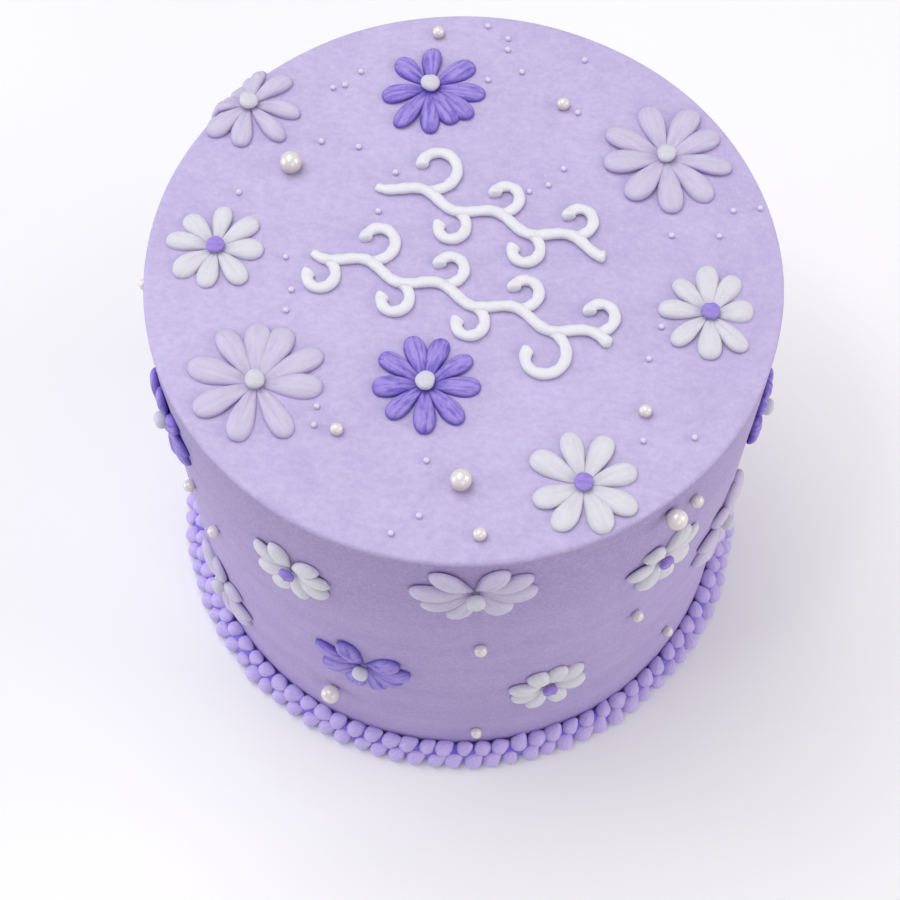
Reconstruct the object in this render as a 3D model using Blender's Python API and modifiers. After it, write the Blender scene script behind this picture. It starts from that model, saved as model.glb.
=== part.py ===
import math
import random

import bmesh
import bpy
from mathutils import Matrix, Vector

# A tall round birthday cake, covered in lilac icing, with daisies, sugar pearls,
# two lines of piped scrollwork and a double row of piped beads round its foot.
# Metres, +Z up. The origin is the middle of the flat underside.

MM = 0.001
CAKE_RADIUS = 81 * MM
FOOT_RADIUS = 80 * MM
CAKE_HEIGHT = 144.5 * MM
RIM_RADIUS = 1.2 * MM
CAKE_SIDES = 51
TOUCH_GAP = 0.3 * MM

# Daisies: petals rise to the crown, and the eye sits in a flat hub between them
CROWN_HEIGHT = 2.6 * MM
EDGE_HEIGHT = 1.1 * MM
SEAM_HEIGHT = 1.3 * MM
HUB_HEIGHT = 1.5 * MM
HUB_RADIUS = 2.9 * MM
WALL_GAP = 0.5 * MM
PETAL_SLIMNESS = 0.205

# Sugar pearls come in three sizes
SMALL_PEARL = 0.8 * MM
MEDIUM_PEARL = 1.7 * MM
LARGE_PEARL = 2.85 * MM
PEARL_SUNK = 0.38

# The two rows of beads round the foot: how far out each row's middle is, and how high
BEADS_IN_ROW = 93
BEAD_RADIUS = 2.5 * MM
BEAD_GROOVE = 0.45
UPPER_ROW = (FOOT_RADIUS + 2.1 * MM, 5.0 * MM)
LOWER_ROW = (FOOT_RADIUS + 4.8 * MM, 2.6 * MM)
BORDER_INSIDE = FOOT_RADIUS + 0.45 * MM

# Steps out and up from a row's middle to where the border's surface turns
VALLEY_FROM_LOWER = (-1.2 * MM, 2.3 * MM)
VALLEY_FROM_UPPER = (2.2 * MM, -1.1 * MM)
FOOT_OUT = 1.2 * MM
WALL_LINE_UP = (0.7 * MM, 2.1 * MM)

# Piped scrollwork: two lines sloping down to the right
PIPE_RADIUS = 1.6 * MM
SCROLL_SLOPE = math.radians(-20)
STEM_WAVE = 20 * MM
STEM_SWING = 1.7 * MM
CURL_START = 5.4 * MM
CURL_END = 2.4 * MM
CURL_TURN = math.radians(290)

# Each kind of daisy: petal material, eye material, eye radius and eye height
KINDS = {
    "white": ("petal_white", "eye_violet", 2.6 * MM, 1.1 * MM),
    "pale": ("petal_pale", "eye_white", 2.5 * MM, 1.7 * MM),
    "violet": ("petal_violet", "eye_white", 2.5 * MM, 1.7 * MM),
}

# Daisies lying on the top: kind, place in mm, where each petal points, each petal's reach
TOP_DAISIES = {
    "top_back": ("violet", (-8.9, 56.6), (-166, -123, -92, -61, -44, -12, 33, 90, 139),
                 (13.3, 16.0, 15.3, 13.7, 15.0, 14.9, 13.7, 12.2, 12.3)),
    "top_right": ("pale", (52.8, 34.4), (-172, -127, -88, -50, -11, 28, 65, 107, 153),
                  (16.6, 16.7, 17.6, 17.5, 17.4, 15.7, 16.6, 16.5, 17.3)),
    "top_left": ("white", (-63.0, 5.9), (-143, -101, -53, -5, 38, 83, 129, 167),
                 (13.0, 12.2, 13.2, 12.3, 13.0, 12.3, 12.1, 13.0)),
    "top_right_low": ("white", (61.7, -12.8), (-140, -94, -55, 3, 55, 93, 133, 172),
                      (13.3, 13.3, 13.5, 11.0, 12.8, 13.9, 12.7, 13.0)),
    "top_left_low": ("pale", (-51.0, -33.0), (-150, -105, -58, -8, 26, 62, 90, 123, 165),
                     (16.8, 16.8, 17.4, 16.7, 18.4, 16.9, 16.6, 17.3, 17.6)),
    "top_front": ("violet", (-9.3, -33.1), (-174, -134, -91, -50, -8, 31, 72, 105, 144),
                  (13.1, 13.1, 14.0, 14.2, 13.7, 13.6, 13.2, 13.6, 13.7)),
    "top_front_low": ("white", (28.8, -60.1), (-156, -116, -66, -30, 16, 62, 106, 147),
                      (13.1, 14.0, 13.8, 14.4, 13.4, 14.1, 14.1, 14.5)),
}

# One daisy folds over the rim
RIM_DAISY = ("pale", (-56.8, 50.6), (-138, -103, -51, -7, 45, 88, 130, 175),
             (14.2, 14.4, 15.2, 14.4, 13.8, 13.0, 13.0, 13.4))

# Daisies on the wall: kind, angle round the cake from the front in degrees, height in mm,
# where each petal points and its reach
WALL_DAISIES = {
    "side_front": ("pale", 2.3, 126.3, (-149, -111, -52, -4, 34, 67, 128, 174),
                   (15.0, 15.2, 13.4, 15.3, 16.2, 15.7, 16.6, 16.2)),
    "side_front_low": ("white", 17.9, 47.4, (-157, -111, -72, -16, 45, 76, 110, 158),
                       (11.7, 14.2, 14.4, 11.6, 13.3, 13.4, 13.6, 12.4)),
    "side_front_left": ("violet", -19.3, 60.8, (-145, -103, -65, -28, 9, 44, 111, 159),
                        (15.0, 15.4, 13.1, 12.6, 13.9, 14.5, 15.6, 15.2)),
    "side_left": ("white", -32.4, 110.6, (-139, -105, -73, -20, 18, 54, 109, 151),
                  (13.2, 14.2, 13.4, 12.0, 12.5, 13.4, 12.8, 12.0)),
    "side_right": ("white", 39.4, 106.0, (-120, -80, -44, 12, 60, 118, 170),
                   (12.8, 13.6, 13.4, 12.8, 13.2, 12.0, 12.0)),
    "side_left_low": ("pale", -59.3, 35.5, (-156, -115, -74, -35, 5, 46, 88, 130, 170),
                      (15.0, 14.6, 15.2, 15.2, 14.8, 15.6, 15.8, 15.0, 14.8)),
    "side_left_high": ("violet", -68, 121, (-150, -112, -70, -33, 8, 50, 90, 128, 168),
                       (13.0, 13.8, 13.2, 13.6, 13.0, 13.4, 13.8, 13.2, 13.6)),
    "side_right_low": ("pale", 63.2, 72.5, (-166, -124, -82, -45, -5, 34, 75, 117, 158),
                       (15.6, 15.0, 15.4, 14.8, 15.8, 15.2, 15.0, 15.6, 15.2)),
    "side_right_high": ("violet", 76.4, 108, (-160, -118, -80, -40, 2, 40, 84, 122, 162),
                        (11.0, 11.4, 11.0, 11.2, 11.6, 11.0, 11.4, 11.2, 11.6)),
    "back_1": ("white", 104, 46, (-158, -112, -68, -20, 24, 68, 114, 160),
               (12.0, 12.6, 12.8, 12.2, 12.6, 12.0, 12.8, 12.4)),
    "back_2": ("pale", 127, 111, (-163, -121, -80, -44, -2, 36, 79, 118, 156),
               (15.8, 15.2, 15.6, 16.0, 15.0, 15.8, 15.4, 15.8, 15.2)),
    "back_3": ("violet", 151, 58, (-150, -115, -76, -34, 6, 44, 86, 126, 168),
               (13.2, 13.8, 13.4, 13.8, 13.0, 13.6, 13.8, 13.2, 13.6)),
    "back_4": ("white", 178, 112, (-165, -118, -75, -28, 16, 62, 105, 152),
               (12.8, 12.2, 12.6, 13.0, 12.2, 12.8, 12.4, 12.8)),
    "back_5": ("pale", 205, 50, (-170, -130, -90, -48, -10, 30, 72, 110, 150),
               (15.4, 16.0, 15.6, 16.2, 15.4, 15.8, 16.0, 15.4, 15.8)),
    "back_6": ("violet", 231, 104, (-155, -114, -73, -36, 4, 47, 85, 128, 165),
               (13.4, 12.8, 13.2, 13.6, 12.8, 13.4, 13.0, 13.4, 13.0)),
    "back_7": ("white", 258, 60, (-149, -104, -60, -14, 30, 76, 120, 166),
               (12.2, 12.6, 12.0, 12.4, 12.6, 12.0, 12.4, 12.2)),
}

# Large pearls are pieces of their own: on the top by place, on the wall by angle, height
TOP_LARGE = ((-44.8, 30.6), (-0.5, -60.2))
WALL_LARGE = ((38.2, 137), (-26.8, 30.7), (166, 88))

# Medium and small pearls are sunk into the icing
TOP_MEDIUM = ((-6.9, 73.9), (26.3, 50.5), (44.3, -40.8), (-30.6, -46.2), (4, -73.7))
WALL_MEDIUM = (
    (3.6, 88.4), (3.5, 17.5), (35.8, 74.4), (48.8, 29.4), (44.3, 132.7), (-54.6, 86.8), (-63, 94),
    (-91, 134), (-88, 22), (92, 78), (116, 76), (140, 92), (168, 30), (192, 84), (218, 80), (244, 82),
    (272, 92),
)
TOP_SMALL = (
    (-27.5, 61.3), (-34.8, 56), (-31.7, 56.9), (6.5, 76.7), (11.9, 72.5), (11.8, 68.8), (15.5, 61.5),
    (6.4, 58.7), (32.3, 65.5), (30.1, 48.3), (-37.3, 38.7), (-27.5, 37), (-58.1, 22.6), (-17.7, 29),
    (-21.9, 17), (26, 30.4), (21.9, 25.3), (16.9, 23.3), (-45.1, 3.1), (-43.3, -6.6), (-44.4, -12.5),
    (53.1, 10.1), (65.3, 10), (69.3, 17.7), (76.3, 18.5), (49.3, -16.7), (45.8, -25.9), (56, -47.6),
    (43.5, -48.5), (-35.7, -39.6), (-36.2, -44.7), (-8.8, -54.1), (-10.4, -68.7), (-17, -73.2),
)

# Scrollwork: each line's distance from the origin across the slope, where its stem
# starts and ends along the slope, then its curls upward and its curls downward, each as
# the place where it leaves the stem and its size
SCROLLS = {
    "scroll_upper": (16.8, (-30, 33), ((-18, 1.45), (2, 1), (22, 1)), ((-8, 1), (12, 1))),
    "scroll_lower": (-8.2, (-38, 42), ((-24, 1.2), (-4, 1), (16, 1), (36, 1)),
                     ((-34, 1), (-14, 1), (6, 1), (26, 1.45))),
}

# Colours are linear red, green and blue with roughness
COLOURS = {
    "icing_lilac": ((0.58, 0.50, 0.78), 0.6),
    "petal_white": ((0.84, 0.83, 0.87), 0.6),
    "petal_pale": ((0.70, 0.64, 0.83), 0.6),
    "petal_violet": ((0.19, 0.13, 0.58), 0.6),
    "eye_white": ((0.84, 0.84, 0.85), 0.6),
    "eye_violet": ((0.32, 0.22, 0.71), 0.7),
    "pearl": ((0.86, 0.82, 0.76), 0.25),
    "piping_white": ((0.84, 0.83, 0.87), 0.55),
    "piping_violet": ((0.36, 0.27, 0.75), 0.6),
}


def clear_scene():
    for old in list(bpy.data.objects):
        bpy.data.objects.remove(old, do_unlink=True)


def collection(name):
    made = bpy.data.collections.new(name)
    bpy.context.scene.collection.children.link(made)
    return made


def material(name, slot):
    colour, roughness = COLOURS[slot]
    made = bpy.data.materials.new(name)
    made.use_nodes = True
    shader = made.node_tree.nodes["Principled BSDF"]
    shader.inputs["Base Color"].default_value = (*colour, 1)
    shader.inputs["Roughness"].default_value = roughness
    shader.inputs["Metallic"].default_value = 0
    return made


def add_piece(name, bm, slot, home):
    # Turns a bmesh into a named object with a material of its own.
    mesh = bpy.data.meshes.new(name)
    bm.to_mesh(mesh)
    bm.free()
    piece = bpy.data.objects.new(name, mesh)
    piece.data.materials.append(material(name, slot))
    home.objects.link(piece)
    return piece


def on_top(x, y):
    # The top's surface round a point: two ways along it, then the way out.

    def place(u, v, h):
        return Vector((x + u, y + v, CAKE_HEIGHT + h))

    return place


def wall_radius(z):
    # The wall leans out a little from the foot to the top.
    return FOOT_RADIUS + (CAKE_RADIUS - FOOT_RADIUS) * z / CAKE_HEIGHT


def on_wall(angle, z):
    # The wall's surface round a point: along the wall, up it, then outward.

    def place(u, v, h):
        turn = math.radians(angle) + u / CAKE_RADIUS
        reach = wall_radius(z + v) + h
        return Vector((reach * math.sin(turn), -reach * math.cos(turn), z + v))

    return place


def over_rim(x, y):
    # The surface that runs from the top over the rim and down the wall.
    home_reach = math.hypot(x, y)
    home_turn = math.atan2(y, x)
    top_end = CAKE_RADIUS - RIM_RADIUS
    bend = RIM_RADIUS * math.pi / 2

    def place(u, v, h):
        outward = u * math.cos(home_turn) + v * math.sin(home_turn)
        sideways = v * math.cos(home_turn) - u * math.sin(home_turn)
        turn = home_turn + sideways / home_reach
        past = home_reach + outward - top_end
        lean = min(max(past / RIM_RADIUS, 0), math.pi / 2)
        reach = top_end + min(past, 0) + (RIM_RADIUS + h) * math.sin(lean)
        z = CAKE_HEIGHT - RIM_RADIUS - max(past - bend, 0) + (RIM_RADIUS + h) * math.cos(lean)
        return Vector((reach * math.cos(turn), reach * math.sin(turn), z))

    return place


def polar(reach, turn):
    return reach * math.cos(turn), reach * math.sin(turn)


def petal_point(turn, along, across):
    # A point of a petal, from its distance along the petal and across it.
    x = along * math.cos(turn) - across * math.sin(turn)
    y = along * math.sin(turn) + across * math.cos(turn)
    return x, y


def daisy_petals(directions, reaches, luck):
    # The petals of one daisy, flat: an outline with five points a petal, a crown ring
    # with three and a hub ring with one, joined ring by ring.
    bm = bmesh.new()
    turns = [math.radians(d) for d in directions]
    count = len(turns)
    gaps = [(turns[(k + 1) % count] - turns[k]) % (2 * math.pi) for k in range(count)]
    reach = sum(reaches) / count
    width = reach * PETAL_SLIMNESS

    def vert(point, h):
        return bm.verts.new((*point, h))

    middle = vert((0, 0), 0)
    edges, feet, crowns, hubs = [], [], [], []
    for k, turn in enumerate(turns):
        before = gaps[k - 1] / 2
        after = gaps[k] / 2
        seam = turn - before
        notch = min(max(0.62 * width / math.tan(before), 0.24 * reach), 0.55 * reach)
        long = reaches[k]
        shoulder = 0.70 * long
        low = min(width, shoulder * math.tan(before - 0.035))
        high = min(width, shoulder * math.tan(after - 0.035))
        outline = [
            polar(notch, seam),
            petal_point(turn, shoulder, -low),
            petal_point(turn, 0.975 * long, -0.45 * width),
            petal_point(turn, 0.975 * long, 0.45 * width),
            petal_point(turn, shoulder, high),
        ]
        edges.append([vert(p, EDGE_HEIGHT) for p in outline])
        feet.append([vert(p, 0) for p in outline])
        crown = CROWN_HEIGHT * luck.uniform(0.93, 1.06)
        crowns.append([
            vert(polar(0.82 * notch, seam), SEAM_HEIGHT),
            vert(petal_point(turn, 0.68 * long, -0.42 * low), crown),
            vert(petal_point(turn, 0.68 * long, 0.42 * high), crown),
        ])
        hubs.append(vert(polar(HUB_RADIUS, seam), HUB_HEIGHT))
    for k in range(count):
        after = (k + 1) % count
        notch, low, left, right, high = edges[k]
        seam, crown_low, crown_high = crowns[k]
        next_notch, next_seam = edges[after][0], crowns[after][0]
        bm.faces.new((notch, low, crown_low, seam))
        bm.faces.new((low, left, crown_low))
        bm.faces.new((left, right, crown_high, crown_low))
        bm.faces.new((right, high, crown_high))
        bm.faces.new((high, next_notch, next_seam, crown_high))
        bm.faces.new((seam, crown_low, hubs[k]))
        bm.faces.new((crown_low, crown_high, hubs[after], hubs[k]))
        bm.faces.new((crown_high, next_seam, hubs[after]))
        rim = edges[k] + [next_notch]
        foot = feet[k] + [feet[after][0]]
        for i in range(5):
            bm.faces.new((foot[i], foot[i + 1], rim[i + 1], rim[i]))
        bm.faces.new(list(reversed(foot)))
        bm.faces.new((foot[0], middle, foot[5]))
    bm.faces.new(hubs)
    return bm


def daisy_eye(radius, height):
    # A round button with a domed top, flat below.
    bm = bmesh.new()
    bmesh.ops.create_cone(
        bm, cap_ends=True, segments=8, radius1=radius, radius2=0.7 * radius, depth=0.75 * height,
        matrix=Matrix.Translation((0, 0, 0.375 * height)),
    )
    top = [f for f in bm.faces if f.normal.z > 0.9]
    bmesh.ops.poke(bm, faces=top, offset=0.25 * height)
    return bm


def lay(bm, place, lift):
    # Carries a flat shape onto the cake's surface.
    for v in bm.verts:
        v.co = place(v.co.x, v.co.y, v.co.z + lift)


def cut_at_folds(bm, x, y):
    # Adds edges where a shape will bend over the rim, so that it bends only there.
    outward = Vector((x, y, 0)).normalized()
    steps = 4
    for step in range(steps + 1):
        fold = CAKE_RADIUS - RIM_RADIUS + RIM_RADIUS * math.pi / 2 * step / steps
        parts = bm.verts[:] + bm.edges[:] + bm.faces[:]
        plane = outward * (fold - math.hypot(x, y))
        bmesh.ops.bisect_plane(bm, geom=parts, dist=1e-6, plane_co=plane, plane_no=outward)


def add_daisy(name, kind, place, petals, gap, home, luck, fold_at=None):
    petal_slot, eye_slot, eye_radius, eye_height = KINDS[kind]
    directions, reaches = petals
    bloom = daisy_petals(directions, [reach * MM for reach in reaches], luck)
    if fold_at:
        cut_at_folds(bloom, *fold_at)
    lay(bloom, place, gap)
    add_piece(f"daisy_{name}_petals", bloom, petal_slot, home)
    eye = daisy_eye(eye_radius, eye_height)
    lay(eye, place, gap + HUB_HEIGHT + 1.2 * TOUCH_GAP)
    add_piece(f"daisy_{name}_eye", eye, eye_slot, home)


def add_daisies(home):
    luck = random.Random(7)
    for name, (kind, (x, y), *petals) in TOP_DAISIES.items():
        add_daisy(name, kind, on_top(x * MM, y * MM), petals, TOUCH_GAP, home, luck)
    kind, (x, y), *petals = RIM_DAISY
    spot = (x * MM, y * MM)
    add_daisy("top_rim", kind, over_rim(*spot), petals, TOUCH_GAP, home, luck, spot)
    for name, (kind, angle, z, *petals) in WALL_DAISIES.items():
        add_daisy(name, kind, on_wall(angle, z * MM), petals, WALL_GAP, home, luck)


def ball(radius, sides, rings, turn=0.0):
    bm = bmesh.new()
    spin = Matrix.Rotation(turn, 4, "Z")
    bmesh.ops.create_uvsphere(bm, u_segments=sides, v_segments=rings, radius=radius, matrix=spin)
    return bm


def add_large_pearls(home):
    # Pearls with a small flat underneath, resting on the icing.
    spots = [on_top(x * MM, y * MM) for x, y in TOP_LARGE]
    spots += [on_wall(angle, z * MM) for angle, z in WALL_LARGE]
    for number, place in enumerate(spots, 1):
        bm = ball(LARGE_PEARL, 8, 6)
        flat = -math.cos(math.pi / 6) * LARGE_PEARL
        for v in bm.verts:
            v.co.z = max(v.co.z, flat)
        lay(bm, place, TOUCH_GAP * 1.2 - flat)
        add_piece(f"pearl_large_{number}", bm, "pearl", home)


def fuse(base, pieces):
    # Joins pieces to the base with one Boolean union, then removes them.
    joined = bpy.data.collections.new("to_join")
    for piece in pieces:
        joined.objects.link(piece)
    union = base.modifiers.new("join", "BOOLEAN")
    union.operation = "UNION"
    union.operand_type = "COLLECTION"
    union.collection = joined
    union.solver = "EXACT"
    depsgraph = bpy.context.evaluated_depsgraph_get()
    whole = bpy.data.meshes.new_from_object(base.evaluated_get(depsgraph))
    base.modifiers.remove(union)
    base.data = whole
    for piece in pieces:
        bpy.data.objects.remove(piece, do_unlink=True)
    bpy.data.collections.remove(joined)


def turned(name, profile, sides, slot, home):
    # A solid of revolution from a profile in the XZ plane.
    mesh = bpy.data.meshes.new(name)
    edges = [(i, i + 1) for i in range(len(profile) - 1)]
    mesh.from_pydata([(x, 0, z) for x, z in profile], edges, [])
    piece = bpy.data.objects.new(name, mesh)
    home.objects.link(piece)
    screw = piece.modifiers.new("turn", "SCREW")
    screw.steps = sides
    screw.render_steps = sides
    screw.use_merge_vertices = True
    screw.merge_threshold = 0.00001
    depsgraph = bpy.context.evaluated_depsgraph_get()
    piece.data = bpy.data.meshes.new_from_object(piece.evaluated_get(depsgraph))
    piece.modifiers.clear()
    piece.data.materials.append(material(name, slot))
    return piece


def add_cake(home):
    # The covered cake, with the medium and small pearls sunk into its icing.
    profile = [(0, CAKE_HEIGHT)]
    for step in range(4):
        lean = math.pi / 2 * step / 3
        across = CAKE_RADIUS - RIM_RADIUS + RIM_RADIUS * math.sin(lean)
        up = CAKE_HEIGHT - RIM_RADIUS + RIM_RADIUS * math.cos(lean)
        profile.append((across, up))
    profile += [(FOOT_RADIUS, 0), (0, 0)]
    cake = turned("cake", profile, CAKE_SIDES, "icing_lilac", home)
    luck = random.Random(3)
    spots = [(on_top(x * MM, y * MM), SMALL_PEARL, 6, 3) for x, y in TOP_SMALL]
    spots += [(on_top(x * MM, y * MM), MEDIUM_PEARL, 7, 4) for x, y in TOP_MEDIUM]
    spots += [(on_wall(angle, z * MM), MEDIUM_PEARL, 7, 4) for angle, z in WALL_MEDIUM]
    pearls = []
    for number, (place, radius, sides, rings) in enumerate(spots):
        bm = ball(radius, sides, rings, luck.uniform(0, 2 * math.pi))
        lay(bm, place, (1 - PEARL_SUNK) * radius)
        pearls.append(add_piece(f"pearl_{number}", bm, "pearl", home))
    fuse(cake, pearls)


def zip_rings(bm, first, second):
    # Joins two closed rings of points, which may differ in number, with triangles.
    i = j = 0
    while i < len(first) or j < len(second):
        a, b = first[i % len(first)], second[j % len(second)]
        if (i + 1) / len(first) <= (j + 1) / len(second):
            i += 1
            bm.faces.new((a, b, first[i % len(first)]))
        else:
            j += 1
            bm.faces.new((a, b, second[j % len(second)]))


def bead_row(row, lean, shift, luck):
    # Four points a bead on its outer curve: a groove, a shoulder, the middle, a shoulder.
    points = []
    for number in range(BEADS_IN_ROW):
        size = BEAD_RADIUS * luck.uniform(0.93, 1.07)
        nudge = luck.uniform(-0.05, 0.05)
        for phase, full in ((-0.5, BEAD_GROOVE), (-0.25, 0.87), (0, 1), (0.25, 0.87)):
            turn = (number + phase + shift + nudge) / BEADS_IN_ROW
            reach = row[0] + full * size * math.cos(lean)
            points.append((turn, reach, row[1] + full * size * math.sin(lean)))
    return points


def add_border(home):
    # Two rows of beads, half a bead apart, as one ring lofted through unlike outlines.
    luck = random.Random(11)
    steps = [k / (2 * BEADS_IN_ROW) - 0.5 / BEADS_IN_ROW for k in range(2 * BEADS_IN_ROW)]
    valley = (
        (LOWER_ROW[0] + VALLEY_FROM_LOWER[0], LOWER_ROW[1] + VALLEY_FROM_LOWER[1]),
        (UPPER_ROW[0] + VALLEY_FROM_UPPER[0], UPPER_ROW[1] + VALLEY_FROM_UPPER[1]),
    )
    wall_line = [UPPER_ROW[1] + up for up in WALL_LINE_UP]
    low_beads = bead_row(LOWER_ROW, math.radians(12), -0.5, luck)
    rings = [
        [(step, BORDER_INSIDE, 0) for step in steps[::2]],
        [(step, BORDER_INSIDE, wall_line[k % 2]) for k, step in enumerate(steps)],
        bead_row(UPPER_ROW, math.radians(55), 0, luck),
        [(step, *valley[k % 2]) for k, step in enumerate(steps)],
        low_beads[2:] + low_beads[:2],
        [(step, LOWER_ROW[0] + FOOT_OUT, 0) for step in steps[::2]],
    ]
    bm = bmesh.new()
    loops = []
    for ring in rings:
        loop = []
        for turn, reach, z in ring:
            x, y = polar(reach, 2 * math.pi * turn)
            loop.append(bm.verts.new((x, y, z)))
        loops.append(loop)
    for first, second in zip(loops, loops[1:] + loops[:1]):
        zip_rings(bm, first, second)
    add_piece("bead_border", bm, "piping_violet", home)


def tube(name, points, home):
    # A round tube along points in the plane of the top, with its ends closed.
    curve = bpy.data.curves.new(name, "CURVE")
    curve.dimensions = "3D"
    curve.bevel_depth = PIPE_RADIUS
    curve.bevel_resolution = 1
    curve.use_fill_caps = True
    line = curve.splines.new("POLY")
    line.points.add(len(points) - 1)
    for point, (x, y) in zip(line.points, points):
        point.co = (x, y, CAKE_HEIGHT + TOUCH_GAP + PIPE_RADIUS, 1)
    guide = bpy.data.objects.new(name, curve)
    home.objects.link(guide)
    depsgraph = bpy.context.evaluated_depsgraph_get()
    mesh = bpy.data.meshes.new_from_object(guide.evaluated_get(depsgraph))
    bpy.data.objects.remove(guide, do_unlink=True)
    bpy.data.curves.remove(curve)
    bm = bmesh.new()
    bm.from_mesh(mesh)
    bpy.data.meshes.remove(mesh)
    bmesh.ops.remove_doubles(bm, verts=bm.verts, dist=0.00001)
    return add_piece(name, bm, "piping_white", home)


def sloped(along, across):
    # From the scrollwork's own slope to the top's X and Y.
    x = along * math.cos(SCROLL_SLOPE) - across * math.sin(SCROLL_SLOPE)
    y = along * math.sin(SCROLL_SLOPE) + across * math.cos(SCROLL_SLOPE)
    return x, y


def stem_height(along, first_curl):
    # The stem swings up where an upward curl leaves it, and down for the next.
    return STEM_SWING * math.cos(2 * math.pi * (along - first_curl) / STEM_WAVE)


def curl_points(start, side, size):
    # A curl that leaves the stem along it and winds inward, tighter and tighter.
    steps = 6
    along, across = start
    points = [sloped(along, across)]
    for step in range(steps):
        share = (step + 0.5) / steps
        radius = size * CURL_START * (CURL_END / CURL_START) ** share
        heading = CURL_TURN * share
        run = radius * CURL_TURN / steps
        along += run * math.cos(heading)
        across += side * run * math.sin(heading)
        points.append(sloped(along, across))
    return points


def add_scroll(name, across, ends, ups, downs, home):
    first, last = ends[0] * MM, ends[1] * MM
    top_of_wave = ups[0][0] * MM
    pieces = 14
    stem = []
    for i in range(pieces + 1):
        along = first + (last - first) * i / pieces
        stem.append(sloped(along, across * MM + stem_height(along, top_of_wave)))
    scroll = tube(name, stem, home)
    curls = []
    for side, starts in ((1, ups), (-1, downs)):
        for start, size in starts:
            along = start * MM
            place = (along, across * MM + stem_height(along, top_of_wave))
            curls.append(tube(f"{name}_curl_{len(curls)}", curl_points(place, side, size), home))
    fuse(scroll, curls)


def build():
    clear_scene()
    home = collection("birthday_cake")
    add_cake(home)
    add_border(home)
    add_daisies(home)
    add_large_pearls(home)
    for name, (across, ends, ups, downs) in SCROLLS.items():
        add_scroll(name, across, ends, ups, downs, home)


build()
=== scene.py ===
import math

import bpy
import numpy as np
from mathutils import Matrix


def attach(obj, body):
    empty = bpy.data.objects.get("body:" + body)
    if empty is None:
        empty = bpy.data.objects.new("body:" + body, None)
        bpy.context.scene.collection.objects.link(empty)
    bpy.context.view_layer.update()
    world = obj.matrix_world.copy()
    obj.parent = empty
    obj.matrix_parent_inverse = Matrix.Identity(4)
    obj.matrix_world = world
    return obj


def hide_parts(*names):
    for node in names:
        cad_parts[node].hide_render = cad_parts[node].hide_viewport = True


# A round birthday cake in lilac buttercream, with piped daisies, sugar pearls, piped
# scrollwork and a beaded border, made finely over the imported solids.
# Lengths are millimetres here, and become metres where a mesh is made.

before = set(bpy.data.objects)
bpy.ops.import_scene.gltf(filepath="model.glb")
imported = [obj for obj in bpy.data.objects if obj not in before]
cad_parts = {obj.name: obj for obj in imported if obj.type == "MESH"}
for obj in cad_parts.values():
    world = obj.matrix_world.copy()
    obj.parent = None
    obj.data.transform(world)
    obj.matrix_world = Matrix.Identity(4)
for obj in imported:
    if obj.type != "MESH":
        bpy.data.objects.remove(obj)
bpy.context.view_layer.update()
scene = bpy.context.scene
luck = np.random.default_rng(26)  # daisies, pearls and beads draw from it in turn


# Surfaces are dictionaries: points (N, 3), quads, tris, named fields (N,) and a flow map
# (N, 2). The field crown is 1 on top of a form and 0 low down, and the finishes lay painted
# shade where it is low; the flow map runs along a stroke of the piping bag and across it.

def shellFaces(copies, rings, sides):
    # Faces of closed shells. Each copy is one pole, rings of points, then the other pole.
    count = rings * sides + 2
    base = (np.arange(copies) * count)[:, None, None]
    ring = 1 + np.arange(rings)[None, :, None] * sides
    side = np.arange(sides)[None, None, :]
    after = (side + 1) % sides
    here = base + ring + side
    right = base + ring + after
    quads = np.stack([here[:, :-1], here[:, 1:], right[:, 1:], right[:, :-1]], -1)
    first = np.broadcast_to(base, (copies, 1, sides))
    last = first + count - 1
    caps = [
        np.stack([first, here[:, :1], right[:, :1]], -1),
        np.stack([last, right[:, -1:], here[:, -1:]], -1),
    ]
    return quads.reshape(-1, 4), np.concatenate([c.reshape(-1, 3) for c in caps])


def shell(grid, fields=None, flow=None):
    # A grid (copies, rings, sides, 3) whose first and last rings have shrunk to poles.
    copies, rings, sides = grid.shape[:3]

    def poled(values):
        inner = values[:, 1:-1].reshape(copies, (rings - 2) * sides, -1)
        whole = np.concatenate([values[:, 0, :1].reshape(copies, 1, -1), inner,
                                values[:, -1, :1].reshape(copies, 1, -1)], 1)
        return whole.reshape(copies * whole.shape[1], -1)

    quads, tris = shellFaces(copies, rings - 2, sides)
    made = {"points": poled(grid), "quads": quads, "tris": tris, "fields": {}, "flow": None}
    for name, values in (fields or {}).items():
        spread = np.broadcast_to(values, grid.shape[:3])[..., None]
        made["fields"][name] = poled(spread)[:, 0]
    if flow is not None:
        made["flow"] = poled(flow)
    return made


def join(surfaces):
    # Puts surfaces together as one, with their faces renumbered.
    starts = np.cumsum([0] + [len(s["points"]) for s in surfaces[:-1]])
    made = {"points": np.concatenate([s["points"] for s in surfaces])}
    for key in ("quads", "tris"):
        made[key] = np.concatenate([s[key] + start for s, start in zip(surfaces, starts)])
    names = surfaces[0]["fields"]
    made["fields"] = {name: np.concatenate([s["fields"][name] for s in surfaces]) for name in names}
    flows = [s["flow"] for s in surfaces]
    made["flow"] = None if flows[0] is None else np.concatenate(flows)
    return made


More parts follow.
